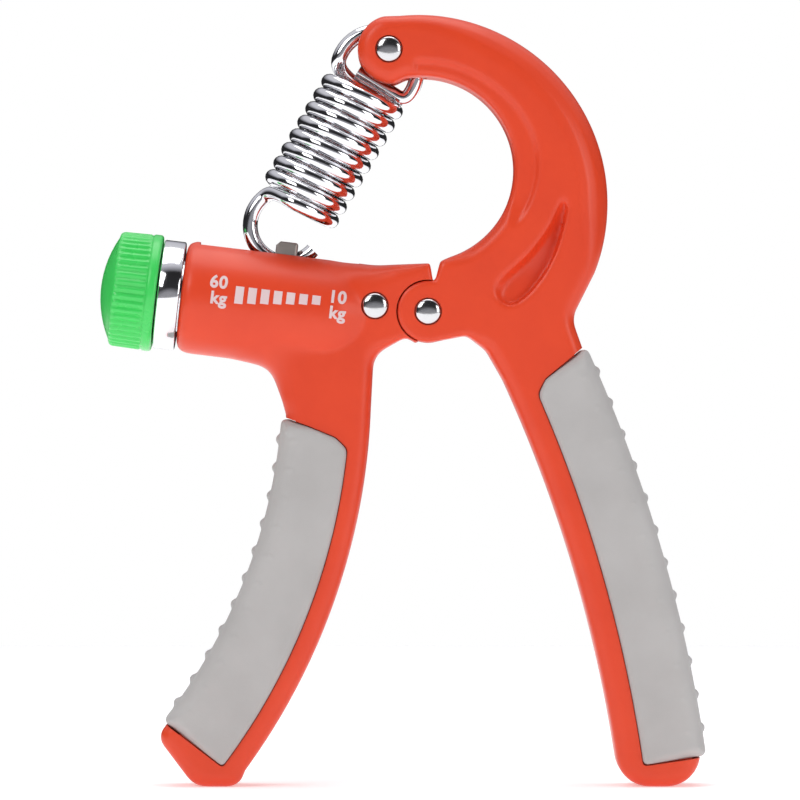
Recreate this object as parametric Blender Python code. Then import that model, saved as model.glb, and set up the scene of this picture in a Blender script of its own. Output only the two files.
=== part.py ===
"""Adjustable A-frame hand grip strengthener with an outside tension spring.

X runs along the width, Y through the thickness and +Z up. The grip stands on its two
handle tips, and the floor is Z = 0. Sizes are in millimetres; MM turns them into metres.
"""

import math

import bmesh
import bpy
from mathutils import Vector

MM = 0.001

# Overall layout
LEG_HEIGHT = 98.4          # floor to the main pivot
PIVOT_X = 5.2              # the pivot stands right of the middle of the grip's width
GAP = 0.3                  # clearance between neighbouring pieces
BODY_THICKNESS = 17.4      # both handles, through the thickness
EDGE_ROUND = 2.4           # rounding of the handles' front and back edges

# Legs
LEFT_LEG_WIDTH = 17.4
LEFT_LEG_FLARE = 1.4       # extra width at the tip
RIGHT_LEG_WIDTH = 17.6
RIGHT_LEG_FLARE = 0.0

# Grip pads
PAD_PROUD = 1.0            # the pads stand this far out of the handles
PAD_WALL = 3.0
LEFT_STRIP = 4.3           # bare strip of the handle beside the pad
RIGHT_STRIP = 5.4
PAD_EDGE = 0.7             # bevel round a pad's faces
RIB_HEIGHT = 0.8
LEFT_RIBS = 11
RIGHT_RIBS = 12

# Main hinge
HUB_RADIUS = 6.4
TONGUE_THICKNESS = 7.2
RIVET_SHANK = 3.0
RIVET_HEAD = 5.2
HEAD_RISE = 0.9
RECESS_DEPTH = 1.2
TAIL_FLARE = 0.7           # a rivet's rolled tail, out from its shank
TAIL_RISE = 0.4            # and over the handle's face
RECESS_MARGIN = 0.6        # free ring round a rivet's head
WASHER_THICKNESS = 0.6
HINGE_WASHER = 0.8
HINGE_WASHER_MARGIN = 1.0  # its edge stays inside the hub by this
SLEEVE_OUTER = 5.2
SLEEVE_WALL = 0.8

# C-shaped arm, from the pivot
ARM_OUTER_RADIUS = 39.0
ARM_INNER_RADIUS = 19.1
ARM_OUTER_CENTRE = (-1.7, 22.5)
ARM_INNER_CENTRE = (-1.3, 29.5)
ARM_TIP_RADIUS = 7.1
ARM_TIP_CENTRE = (-7.5, 54.3)
SPRING_RIVET_SHIFT = -0.6  # spring rivet, right of the tip's centre

# Barrel; its axis slopes and passes under the pivot
BARREL_TILT = math.radians(6.85)
BARREL_DROP = 2.9
BARREL_LENGTH = 51.2       # from the pivot to the open end
BARREL_DIAMETER = 23.4
BARREL_CORNER = 1.6
SHOULDER_START = 8.6       # the barrel grows out of the plate from here
SHOULDER_END = 18.0        # to its full round here
SHOULDER_DROP = 0.7        # its start lies this far inside each of the plate's faces
BORE_DIAMETER = 15.4
BORE_START = 17.8          # from the pivot
SLOT_WIDTH = 7.0
SLOT_START = 15.4
SLOT_END_WALL = 2.6

# Load setting: ring, knob, screw and carriage
RING_LENGTH = 4.5
RING_DIAMETER = 22.6
RING_EDGE = 0.4
SPIGOT_LENGTH = 2.0
KNOB_DIAMETER = 24.3
KNOB_LENGTH = 9.0
KNOB_FLANGE = 2.0
KNOB_EDGE = 0.5
KNOB_STEP = 0.1            # the fluted part is this much lower than the flange
KNOB_RECESS = 1.0          # for the thrust washer
KNOB_WEB = 0.8             # wall between that recess and the insert
KNOB_SCREW_HEAD = 1.0
THRUST_DIAMETER = 14.0
THRUST_THICKNESS = 0.6
KNOB_FLUTES = 24
FLUTE_DEPTH = 0.35
CAP_DIAMETER = 21.6
CAP_RISE = 2.8
SCREW_DIAMETER = 6.0
JOURNAL_DIAMETER = 4.6
TAIL_DIAMETER = 3.0
HEX_ACROSS = 5.0
HEX_LENGTH = 3.8
INSERT_DIAMETER = 9.6
CLIP_THICKNESS = 0.8
CLIP_DIAMETER = 9.0
CARRIAGE_REACH = 12.9      # from the bore's start to its middle
CARRIAGE_LENGTH = 9.0
LUG_LENGTH = 4.5
LUG_WIDTH = 6.3
LUG_TOP = 13.8             # over the barrel's axis
END_BLOCK_DIAMETER = 9.6
END_BLOCK_LENGTH = 8.6
TAIL_LENGTH = 3.0          # of the screw, inside the block
BARREL_RIVET_PLACE = (11.0, 1.2)   # left of the pivot and above it

# Spring
WIRE = 3.1
WIRE_SPLIT = 1.0           # gap where one piece of the wire meets the next
COIL_RADIUS = 7.6
COIL_TURNS = 9
COIL_START = 8.6           # first coil, from the spring rivet
COIL_PITCH = 3.28
LOOP_RADIUS = 8.3
HOOK_RADIUS = 7.5
HOOK_HEIGHT = 17.2         # hook's centre over the barrel's axis
HOOK_SHIFT = 0.7           # and past the carriage, towards the knob
EYE_PLAY = 0.8             # free height in the lug's eye
LOOP_SLOT_PLAY = 0.6       # each side of the loop

# Worked out from the sizes above
HALF = BODY_THICKNESS / 2
PAD_HALF = HALF + PAD_PROUD
CORE_HALF = PAD_HALF - PAD_WALL + 0.3
CHEEK_INNER = TONGUE_THICKNESS / 2 + HINGE_WASHER + 2 * GAP
HEAD_SEAT = HALF - RECESS_DEPTH
KNOB_START = BARREL_LENGTH + RING_LENGTH + 2 * GAP
KNOB_END = KNOB_START + KNOB_LENGTH
CARRIAGE_DIAMETER = BORE_DIAMETER - 2 * GAP
CARRIAGE_PLACE = BORE_START + CARRIAGE_REACH


def material(name, colour, roughness, metallic=0.0):
    """A plain Principled material."""
    new = bpy.data.materials.new(name)
    new.use_nodes = True
    shader = new.node_tree.nodes["Principled BSDF"]
    shader.inputs["Base Color"].default_value = (*colour, 1.0)
    shader.inputs["Roughness"].default_value = roughness
    shader.inputs["Metallic"].default_value = metallic
    return new


def axis_empty(name, location, rotation=(0.0, 0.0, 0.0)):
    """An empty that marks a joint's axis or a sub-assembly's frame."""
    empty = bpy.data.objects.new(name, None)
    empty.location = location
    empty.rotation_euler = rotation
    bpy.context.scene.collection.objects.link(empty)
    return empty


def place(name, mesh, parent, finish=None, offset=(0.0, 0.0, 0.0)):
    """Put a finished mesh in the scene under its parent empty."""
    body = bpy.data.objects.new(name, mesh)
    body.parent = parent
    body.location = Vector(offset) * MM
    bpy.context.scene.collection.objects.link(body)
    if finish:
        mesh.materials.append(finish)
    return body


def mesh_from(name, points, faces, smooth_angle=35.0):
    """A closed mesh from points in millimetres, with its faces turned outwards."""
    shape = bmesh.new()
    verts = [shape.verts.new(Vector(point) * MM) for point in points]
    for face in faces:
        shape.faces.new([verts[index] for index in face])
    bmesh.ops.recalc_face_normals(shape, faces=shape.faces)
    mesh = bpy.data.meshes.new(name)
    shape.to_mesh(mesh)
    shape.free()
    mesh.shade_smooth()
    mesh.set_sharp_from_angle(angle=math.radians(smooth_angle))
    return mesh


def arc(centre, radius, start, end, count):
    """Points on a circle in the XZ plane between two angles in degrees."""
    points = []
    for step in range(count + 1):
        angle = math.radians(start + (end - start) * step / count)
        points.append((centre[0] + radius * math.cos(angle), centre[1] + radius * math.sin(angle)))
    return points


def fillet(corners, step=18.0):
    """An outline from (x, z, radius) corners, each rounded by its radius."""
    outline = []
    count = len(corners)
    for index, (x, z, radius) in enumerate(corners):
        if radius <= 0.0:
            outline.append((x, z))
            continue
        corner = Vector((x, z))
        before = (Vector(corners[index - 1][:2]) - corner).normalized()
        after = (Vector(corners[(index + 1) % count][:2]) - corner).normalized()
        half = before.angle(after) / 2
        bisector = (before + after).normalized()
        centre = corner + bisector * (radius / math.sin(half))
        start = corner + before * (radius / math.tan(half)) - centre
        turn = math.copysign(math.pi - 2 * half, before.x * after.y - before.y * after.x) * -1
        steps = max(2, round(abs(math.degrees(turn)) / step))
        for number in range(steps + 1):
            angle = turn * number / steps
            outline.append((
                centre.x + start.x * math.cos(angle) - start.y * math.sin(angle),
                centre.y + start.x * math.sin(angle) + start.y * math.cos(angle),
            ))
    return outline


def plain(points):
    """Outline points as corners without rounding."""
    return [(x, z, 0.0) for x, z in points]


def inward_normals(outline):
    """For each outline point, the step that moves both its sides inwards by one."""
    area = sum(
        a[0] * b[1] - b[0] * a[1] for a, b in zip(outline, outline[1:] + outline[:1])
    )
    turn = 1.0 if area > 0 else -1.0
    steps = []
    for index, point in enumerate(outline):
        here = Vector(point)
        before = (here - Vector(outline[index - 1])).normalized()
        after = (Vector(outline[(index + 1) % len(outline)]) - here).normalized()
        side = (before + after).normalized()
        stretch = min(1.5, 1.0 / max(0.3, side.dot(after)))
        steps.append(Vector((-side.y, side.x)) * turn * stretch)
    return steps


def prism(outline, half, rounding=None):
    """A plate with bevelled edges: points and faces of an outline thickened along Y.

    rounding gives the bevel's radius at a point of the outline.
    """
    steps = inward_normals(outline)
    levels = [(-1, 0.7, 0.0), (-1, 0.0, 0.7), (1, 0.0, 0.7), (1, 0.7, 0.0)]
    if rounding is None:
        levels = [(-1, 0.0, 0.0), (1, 0.0, 0.0)]
    points = []
    for side, inset_share, drop_share in levels:
        for point, step in zip(outline, steps):
            radius = rounding(point) if rounding else 0.0
            inset = step * radius * inset_share
            points.append((point[0] + inset.x, side * (half - radius * drop_share),
                           point[1] + inset.y))
    size = len(outline)
    faces = [list(range(size)), [size * (len(levels) - 1) + index for index in range(size)][::-1]]
    for level in range(len(levels) - 1):
        for index in range(size):
            after = (index + 1) % size
            near, far = level * size, (level + 1) * size
            faces.append((near + index, far + index, far + after, near + after))
    return points, faces


def turned(profile, sides=24, closed=False, flutes=None, phase=0.0):
    """A shape turned round the local X axis from (x, radius) points.

    closed joins the last point to the first, for a ring. flutes holds the indexes of the
    profile points whose every second corner is cut in by the flute's depth.
    """
    points = []
    rings = []
    for number, (x, radius) in enumerate(profile):
        if radius == 0.0:
            rings.append([len(points)])
            points.append((x, 0.0, 0.0))
            continue
        rings.append(list(range(len(points), len(points) + sides)))
        for side in range(sides):
            cut = FLUTE_DEPTH if flutes and number in flutes and side % 2 else 0.0
            angle = 2 * math.pi * (side + phase) / sides
            points.append((x, (radius - cut) * math.cos(angle), (radius - cut) * math.sin(angle)))
    faces = []
    pairs = list(zip(rings, rings[1:]))
    if closed:
        pairs.append((rings[-1], rings[0]))
    for first, second in pairs:
        for side in range(sides):
            after = (side + 1) % sides
            quad = [first[side % len(first)], second[side % len(second)],
                    second[after % len(second)], first[after % len(first)]]
            faces.append(list(dict.fromkeys(quad)))
    return points, faces


def ring_profile(start, end, inner, outer):
    """A closed profile of a plain ring, by its two diameters."""
    return [(start, inner / 2), (start, outer / 2), (end, outer / 2), (end, inner / 2)]


def rod_profile(*steps):
    """A profile of a solid stepped rod from (start, end, diameter) lengths."""
    profile = [(steps[0][0], 0.0)]
    for start, end, diameter in steps:
        profile += [(start, diameter / 2), (end, diameter / 2)]
    return profile + [(steps[-1][1], 0.0)]


def box(low, high):
    """Points and faces of a box between two corners."""
    points = [(x, y, z) for x in (low[0], high[0]) for y in (low[1], high[1])
              for z in (low[2], high[2])]
    faces = [(0, 1, 3, 2), (4, 6, 7, 5), (0, 4, 5, 1), (2, 3, 7, 6), (0, 2, 6, 4), (1, 5, 7, 3)]
    return points, faces


def cut(body, name, shape, parent, offset=(0.0, 0.0, 0.0), operation="DIFFERENCE"):
    """Cut a shape out of a body, or unite it, with a hidden wire cutter."""
    cutter = place(f"cut_{name}", mesh_from(name, *shape), parent, offset=offset)
    cutter.hide_render = True
    cutter.display_type = "WIRE"
    modifier = body.modifiers.new(name, "BOOLEAN")
    modifier.operation = operation
    modifier.object = cutter


def across(shape):
    """Turn a shape made round the X axis so that it runs along Y."""
    points, faces = shape
    return [(y, x, z) for x, y, z in points], faces


def hub_rounding(point):
    """Edge rounding of the handles: crisp round the hinge, full further out."""
    reach = (math.hypot(*point) - HUB_RADIUS - 1.0) / 7.0
    reach = min(1.0, max(0.0, reach))
    return 0.4 + (EDGE_ROUND - 0.4) * reach * reach * (3 - 2 * reach)


class Leg:
    """A bowed leg: its inner edge is an arc, and its outer edge stands off by its width."""

    def __init__(self, start, middle, end, width, flare, side):
        a, b, c = Vector(start), Vector(middle), Vector(end)
        divisor = 2 * (a.x * (b.y - c.y) + b.x * (c.y - a.y) + c.x * (a.y - b.y))
        self.centre = Vector((
            (a.dot(a) * (b.y - c.y) + b.dot(b) * (c.y - a.y) + c.dot(c) * (a.y - b.y)) / divisor,
            (a.dot(a) * (c.x - b.x) + b.dot(b) * (a.x - c.x) + c.dot(c) * (b.x - a.x)) / divisor,
        ))
        self.radius = (a - self.centre).length
        self.start = math.atan2(a.y - self.centre.y, a.x - self.centre.x)
        end_angle = math.atan2(c.y - self.centre.y, c.x - self.centre.x)
        sweep = (end_angle - self.start + math.pi) % (2 * math.pi) - math.pi
        self.turn = math.copysign(1.0, sweep)
        self.length = abs(sweep) * self.radius
        self.width = width
        self.flare = flare
        self.outward = side * (1.0 if self.centre.x < a.x else -1.0)

    def at(self, along, width):
        """A point a distance along the inner edge and a distance across the leg."""
        angle = self.start + self.turn * along / self.radius
        reach = self.radius + self.outward * width
        return (self.centre.x + reach * math.cos(angle), self.centre.y + reach * math.sin(angle))

    def width_at(self, along):
        """The leg's width a distance along it."""
        return self.width + self.flare * along / self.length

    def edge(self, start, end, count, share):
        """Points along an edge: share 0 is the inner edge, 1 the outer."""
        stations = [start + (end - start) * step / count for step in range(count + 1)]
        return [self.at(along, share * self.width_at(along)) for along in stations]

    def region(self, corners):
        """An outline from (along, across, radius) corners, filled in along its long sides."""
        flat = fillet(corners, 30.0)
        outline = []
        for point, after in zip(flat, flat[1:] + flat[:1]):
            pieces = max(1, math.ceil(abs(after[0] - point[0]) / 7.0))
            for piece in range(pieces):
                share = piece / pieces
                outline.append(self.at(point[0] + (after[0] - point[0]) * share,
                                       point[1] + (after[1] - point[1]) * share))
        return outline


def pad_corners(leg, strip, top_outer, top_inner, bottom, ribs, grow=0.0):
    """The pad's outline on its leg, as (along, across, radius) corners."""
    outer = leg.width + PAD_PROUD + grow
    inner = strip - grow
    corners = [
        (bottom + grow, inner, 0.8),
        (top_inner + 2.2 - grow, inner, 2.2),
        (top_inner - grow, inner + 2.6, 2.0),
        (top_outer - grow, outer + leg.flare * top_outer / leg.length, 1.0),
    ]
    span = bottom - top_outer - 4.0
    pitch = span / ribs if ribs else span
    for number in range(ribs):
        start = top_outer + 2.0 + number * pitch
        for share, height in ((0.22, 0.0), (0.42, 1.0), (0.58, 1.0), (0.78, 0.0)):
            along = start + share * pitch
            corners.append((along, outer + leg.flare * along / leg.length + RIB_HEIGHT * height, 0.0))
    corners.append((bottom + grow, outer + leg.flare, 1.0))
    return corners


def add_pad(name, leg, handle, parent, finish, corners, strip, top, bottom):
    """Make a grip pad as a channel round the leg's core, and cut its seat in the handle."""
    width = leg.width + PAD_PROUD
    core_width = width - PAD_WALL
    seat = leg.region(pad_corners(leg, strip, top[0], top[1], bottom, 0, GAP))
    wide = leg.region([
        (bottom + 2 * GAP, core_width, 0.0), (top[0] - 2 * GAP, core_width, 0.0),
        (top[0] - 2 * GAP, width + 3.0, 0.0), (bottom + 2 * GAP, width + 3.0, 0.0),
    ])
    for side, word in ((-1, "front"), (1, "back")):
        slab_half = (PAD_HALF + 1.0 - CORE_HALF) / 2
        cut(handle, f"{name}_{word}_seat", prism(seat, slab_half), parent,
            (0.0, side * (CORE_HALF + slab_half), 0.0))
    cut(handle, f"{name}_edge_seat", prism(wide, PAD_HALF + 1.0), parent)
    pad = place(name, mesh_from(name, *prism(leg.region(corners), PAD_HALF, lambda point: PAD_EDGE)),
                parent, finish)
    core = leg.region([
        (bottom + 3.0, 1.0, 0.0), (top[0] - 4.0, 1.0, 0.0),
        (top[0] - 4.0, core_width + GAP, 0.0), (bottom + 3.0, core_width + GAP, 0.0),
    ])
    cut(pad, f"{name}_core", prism(core, CORE_HALF + GAP), parent)
    return pad


def rivet(name, parent, finish, offset):
    """A round-headed rivet along Y: domed head in front, formed tail over a washer behind."""
    shank, head = RIVET_SHANK / 2, RIVET_HEAD / 2
    front = -HEAD_SEAT
    back = HEAD_SEAT - WASHER_THICKNESS - 2 * GAP
    rise = RECESS_DEPTH + HEAD_RISE - GAP
    profile = [(front - GAP - rise, 0.0)]
    profile += [(front - GAP - rise + rise * share, head * math.sqrt(1 - (1 - share) ** 2))
                for share in (0.12, 0.45, 1.0)]
    profile += [(front - GAP, shank), (back + WASHER_THICKNESS + 3 * GAP, shank)]
    profile += [(back + WASHER_THICKNESS + 3 * GAP, shank + TAIL_FLARE),
                (HALF + TAIL_RISE / 2, shank + TAIL_FLARE / 2), (HALF + TAIL_RISE, 0.0)]
    return place(name, mesh_from(name, *across(turned(profile, 20))), parent, finish, offset)


def rivet_hole(body, name, parent, offset, diameter):
    """The through hole for a rivet, with its front and back head recesses."""
    recess = RIVET_HEAD + 2 * RECESS_MARGIN
    profile = [(-HALF - 6.0, 0.0), (-HALF - 6.0, recess / 2), (-HEAD_SEAT, recess / 2),
               (-HEAD_SEAT, diameter / 2), (HEAD_SEAT - WASHER_THICKNESS, diameter / 2),
               (HEAD_SEAT - WASHER_THICKNESS, recess / 2), (HALF + 6.0, recess / 2),
               (HALF + 6.0, 0.0)]
    cut(body, name, across(turned(profile, 24)), parent, offset)


def rivet_washer(name, parent, finish, offset):
    """The washer under a rivet's formed tail."""
    start = HEAD_SEAT - WASHER_THICKNESS + GAP
    profile = ring_profile(start, start + WASHER_THICKNESS, RIVET_SHANK + 2 * GAP, RIVET_HEAD + 0.4)
    place(name, mesh_from(name, *across(turned(profile, 20, closed=True))), parent, finish, offset)


def smooth_join(start, start_way, end, end_way, count=6, pull=0.45):
    """Points between two ends of wire, leaving and arriving along their directions."""
    reach = (end - start).length * pull
    first, second = start + start_way * reach, end - end_way * reach
    points = []
    for step in range(1, count):
        t = step / count
        points.append(start * (1 - t) ** 3 + first * 3 * t * (1 - t) ** 2
                      + second * 3 * t * t * (1 - t) + end * t ** 3)
    return points


def spring_route(lean, hook_distance):
    """The wire's centre line from the hook's tip, up the coils, to the end of the loop.

    lean is the unit vector from the hook's centre to the spring rivet. The route starts at
    the rivet as origin and comes back in three lists: hook, coils and loop.
    """
    across_coil = Vector((lean.z, 0.0, -lean.x))
    depth = Vector((0.0, 1.0, 0.0))

    def ring(distance, radius, angle):
        bearing = math.radians(angle)
        return -lean * (distance - radius * math.sin(bearing)) + across_coil * radius * math.cos(bearing)

    def coil(turns):
        angle = math.pi + 2 * math.pi * turns
        distance = COIL_START + COIL_PITCH * (COIL_TURNS - turns)
        return (-lean * distance + across_coil * COIL_RADIUS * math.cos(angle)
                + depth * COIL_RADIUS * math.sin(angle))

    def way(function, value, step):
        return (function(value + step) - function(value - step)).normalized()

    hook = [ring(hook_distance, HOOK_RADIUS, angle) for angle in range(348, 158, -17)]
    hook_way = (hook[-1] - hook[-2]).normalized()
    hook += smooth_join(hook[-1], hook_way, coil(0.25), way(coil, 0.25, 0.01), pull=0.32)
    hook += [coil(0.25 + 0.05 * step) for step in range(6)]
    per_turn = 12
    first, last = 0.5, COIL_TURNS - 0.5
    count = round((last - first) * per_turn)
    coils = [coil(first + (last - first) * step / count) for step in range(count + 1)]
    loop_distance = LOOP_RADIUS - WIRE / 2 - RIVET_SHANK / 2 - GAP
    loop = [coil(last + 0.06 * step) for step in range(5)]
    arch = [ring(loop_distance, LOOP_RADIUS, angle) for angle in range(188, -2, -14)]
    arch_way = (arch[1] - arch[0]).normalized()
    loop += smooth_join(loop[-1], way(coil, last + 0.24, 0.01), arch[0], arch_way, pull=0.3)
    # The loop closes with a tight corner and a straight end above the coils.
    for reach, distance in ((0.97, 1.6), (0.83, 2.6), (0.6, 2.8), (-0.42, 2.5)):
        loop_end = -lean * (loop_distance + distance) + across_coil * LOOP_RADIUS * reach
        arch.append(loop_end)
    loop += arch
    return hook, coils, loop


def trimmed(points, at_start, at_end):
    """A route with half a gap taken off the ends that meet another piece of the wire."""
    route = list(points)
    if at_start:
        route[0] = route[0] + (route[1] - route[0]).normalized() * WIRE_SPLIT / 2
    if at_end:
        route[-1] = route[-1] + (route[-2] - route[-1]).normalized() * WIRE_SPLIT / 2
    return route


def wire(name, route, parent, finish):
    """A round wire along a route, as a curve with a bevel and filled ends."""
    curve = bpy.data.curves.new(name, "CURVE")
    curve.dimensions = "3D"
    curve.bevel_depth = WIRE / 2 * MM
    curve.bevel_resolution = 1
    curve.use_fill_caps = True
    spline = curve.splines.new("POLY")
    spline.points.add(len(route) - 1)
    for point, position in zip(spline.points, route):
        point.co = (*(position * MM), 1.0)
    curve.materials.append(finish)
    body = bpy.data.objects.new(name, curve)
    body.parent = parent
    bpy.context.scene.collection.objects.link(body)


for leftover in list(bpy.data.objects):
    bpy.data.objects.remove(leftover)

ORANGE = material("orange_plastic", (0.76, 0.07, 0.025), 0.35)
GREEN = material("green_plastic", (0.07, 0.68, 0.13), 0.35)
GREY = material("grey_rubber", (0.50, 0.48, 0.46), 0.7)
CHROME = material("chrome", (0.75, 0.75, 0.77), 0.15, 1.0)
STEEL = material("steel", (0.45, 0.45, 0.46), 0.35, 1.0)
BRASS = material("brass", (0.70, 0.52, 0.22), 0.35, 1.0)
NYLON = material("nylon", (0.80, 0.79, 0.74), 0.5)

pivot = axis_empty("squeeze_axis", Vector((PIVOT_X, 0.0, LEG_HEIGHT)) * MM)
barrel_foot = Vector((PIVOT_X - BARREL_DROP * math.sin(BARREL_TILT), 0.0,
                      LEG_HEIGHT - BARREL_DROP * math.cos(BARREL_TILT)))
# In the barrel's frame X runs towards the knob and Z stands square to the barrel.
barrel = axis_empty("barrel_axis", barrel_foot * MM, (0.0, -BARREL_TILT, math.pi))


def from_barrel(along, up):
    """A point of the barrel's frame, in the pivot's frame."""
    sine, cosine = math.sin(BARREL_TILT), math.cos(BARREL_TILT)
    return (-along * cosine + (up - BARREL_DROP) * sine,
            along * sine + (up - BARREL_DROP) * cosine)


# ---- Left handle: barrel, hinge tongue and leg ----
FLOOR = -LEG_HEIGHT
left_leg = Leg((-11.9, -20.4), (-19.4, FLOOR * 0.61), (-39.8, FLOOR + 0.75),
               LEFT_LEG_WIDTH, LEFT_LEG_FLARE, -1)
under = -BARREL_DIAMETER / 2
tongue_radius = HUB_RADIUS - GAP
left_corners = [(0.42, 10.0, 0.0), (-11.0, 9.6, 6.0), (-16.5, 10.4, 2.6)]
left_corners += [(*from_barrel(22.0, 3.0), 0.0)]
left_corners += [(*from_barrel(44.0, -2.0), 0.0), (*from_barrel(44.0, under + 0.5), 0.0)]
left_corners += [(*from_barrel(42.0, under - 0.2), 3.0), (-32.8, -11.2, 4.0), (-29.6, -18.6, 0.0)]
left_corners += plain(left_leg.edge(2.0, left_leg.length - 1.0, 14, 1.0))
left_corners += [
    (*left_leg.at(left_leg.length + 2.8, left_leg.width + left_leg.flare), 3.0),
    (-48.4, FLOOR, 5.0),
    (-39.0, FLOOR, 3.5),
]
left_corners += plain(left_leg.edge(left_leg.length - 3.0, 0.0, 14, 0.0))
left_corners += [(-11.3, -9.0, 5.0), (-4.6, -5.2, 2.0), (-2.4, -6.6, 0.0)]
left_corners += plain(arc((0.0, 0.0), tongue_radius, -108.0, 80.0, 16))
left_handle = place("left_handle", mesh_from("left_handle", *prism(
    fillet(left_corners), HALF, hub_rounding)), pivot, ORANGE)

barrel_radius = BARREL_DIAMETER / 2
shoulder_length = SHOULDER_END - SHOULDER_START


def shoulder(share):
    """The barrel's radius a share of the way along its shoulder."""
    start = HALF - 2 * SHOULDER_DROP
    return start + (barrel_radius - start) * math.sin(share * math.pi / 2)


cut(left_handle, "barrel_wall", turned([
    (SHOULDER_START, 0.0), (SHOULDER_START, shoulder(0.0)),
    (SHOULDER_START + shoulder_length * 0.25, shoulder(0.25)),
    (SHOULDER_START + shoulder_length * 0.62, shoulder(0.62)),
    (SHOULDER_END, barrel_radius), (BARREL_LENGTH - BARREL_CORNER, barrel_radius),
    (BARREL_LENGTH - BARREL_CORNER * 0.3, barrel_radius - BARREL_CORNER * 0.3),
    (BARREL_LENGTH, barrel_radius - BARREL_CORNER), (BARREL_LENGTH, 0.0),
], 36), barrel, operation="UNION")
block_end = BORE_START
block_start = block_end - END_BLOCK_LENGTH
cut(left_handle, "barrel_bore", turned([
    (block_start - GAP, 0.0), (block_start - GAP, END_BLOCK_DIAMETER / 2 + GAP),
    (BORE_START, END_BLOCK_DIAMETER / 2 + GAP), (BORE_START, BORE_DIAMETER / 2),
    (BARREL_LENGTH + 5.0, BORE_DIAMETER / 2), (BARREL_LENGTH + 5.0, 0.0),
], 24, phase=0.5), barrel)
slot_end = BARREL_LENGTH - SLOT_END_WALL
cut(left_handle, "hook_slot", box(
    (SLOT_START, -SLOT_WIDTH / 2, 2.0),
    (slot_end, SLOT_WIDTH / 2, barrel_radius + 6.0)), barrel)
pocket_depth = HALF - TONGUE_THICKNESS / 2
for side, word in ((-1, "front"), (1, "back")):
    cheek_middle = side * (TONGUE_THICKNESS / 2 + pocket_depth / 2 + 1.0)
    cut(left_handle, f"{word}_cheek_pocket", prism(
        arc((0.0, 0.0), HUB_RADIUS + GAP, 0.0, 350.0, 35), pocket_depth / 2 + 1.0),
        pivot, (0.0, cheek_middle, 0.0))
cut(left_handle, "pivot_bore", across(turned(
    rod_profile((-HALF, HALF, SLEEVE_OUTER + 2 * GAP)), 24)), pivot)
barrel_rivet_at = (-BARREL_RIVET_PLACE[0], 0.0, BARREL_RIVET_PLACE[1])
rivet_hole(left_handle, "barrel_rivet_hole", pivot, barrel_rivet_at, RIVET_SHANK + 2 * GAP)

LEFT_PAD_TOP = (2.4, 6.4)
RIGHT_PAD_TOP = (0.8, 3.6)
left_pad_end = left_leg.length - 1.2
add_pad("left_grip", left_leg, left_handle, pivot, GREY,
        pad_corners(left_leg, LEFT_STRIP, *LEFT_PAD_TOP, left_pad_end, LEFT_RIBS),
        LEFT_STRIP, LEFT_PAD_TOP, left_pad_end)

# ---- Right handle: C-shaped arm, hinge cheeks and leg ----
right_leg = Leg((15.5, -14.1), (29.7, FLOOR * 0.524), (39.1, FLOOR + 4.8),
                RIGHT_LEG_WIDTH, RIGHT_LEG_FLARE, 1)
right_corners = [(2.5, 10.4, 0.0)]
right_corners += plain(arc(ARM_INNER_CENTRE, ARM_INNER_RADIUS, -72.0, 100.0, 18))
right_corners += plain(arc(ARM_TIP_CENTRE, ARM_TIP_RADIUS, 275.0, 105.0, 12))
right_corners += plain(arc(ARM_OUTER_CENTRE, ARM_OUTER_RADIUS, 96.0, -22.0, 18))
right_corners += [(29.8, -1.4, 5.0)]
right_corners += plain(right_leg.edge(2.0, right_leg.length - 2.0, 12, 1.0))
right_corners += [(57.2, FLOOR, 7.0), (39.9, FLOOR, 7.0)]
right_corners += plain(right_leg.edge(right_leg.length - 4.0, 0.0, 12, 0.0))
right_corners += [(12.0, -8.0, 4.0), (8.0, -4.9, 2.0)]
right_corners += plain(arc((0.0, 0.0), HUB_RADIUS, -72.0, -283.0, 18))
right_handle = place("right_handle", mesh_from("right_handle", *prism(
    fillet(right_corners), HALF, hub_rounding)), pivot, ORANGE)
cut(right_handle, "tongue_slot", prism(
    arc((0.0, 0.0), HUB_RADIUS + 0.2, 0.0, 350.0, 35), CHEEK_INNER), pivot)
rivet_hole(right_handle, "pivot_rivet_hole", pivot, (0.0, 0.0, 0.0), RIVET_SHANK + 2 * GAP)
spring_rivet_at = Vector((ARM_TIP_CENTRE[0] + SPRING_RIVET_SHIFT, 0.0, ARM_TIP_CENTRE[1]))
rivet_hole(right_handle, "spring_rivet_hole", pivot, spring_rivet_at, RIVET_SHANK + 2 * GAP)
right_pad_end = right_leg.length + 1.0
add_pad("right_grip", right_leg, right_handle, pivot, GREY,
        pad_corners(right_leg, RIGHT_STRIP, *RIGHT_PAD_TOP, right_pad_end, RIGHT_RIBS),
        RIGHT_STRIP, RIGHT_PAD_TOP, right_pad_end)

# ---- Main hinge and rivets ----
sleeve_half = CHEEK_INNER - GAP
place("pivot_sleeve", mesh_from("pivot_sleeve", *across(turned(ring_profile(
    -sleeve_half, sleeve_half, SLEEVE_OUTER - 2 * SLEEVE_WALL, SLEEVE_OUTER), 20, closed=True))),
    pivot, STEEL)
for side, word in ((-1, "front"), (1, "back")):
    near = TONGUE_THICKNESS / 2 + GAP
    profile = ring_profile(side * near, side * (near + HINGE_WASHER),
                           SLEEVE_OUTER + 2 * GAP, 2 * (HUB_RADIUS - HINGE_WASHER_MARGIN))
    place(f"hinge_washer_{word}", mesh_from(word, *across(turned(profile, 24, closed=True))),
          pivot, NYLON)
for word, spot in (("pivot", (0.0, 0.0, 0.0)), ("barrel", barrel_rivet_at),
                   ("spring", spring_rivet_at)):
    rivet(f"{word}_rivet", pivot, CHROME, spot)
    rivet_washer(f"{word}_rivet_washer", pivot, STEEL, spot)

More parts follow.
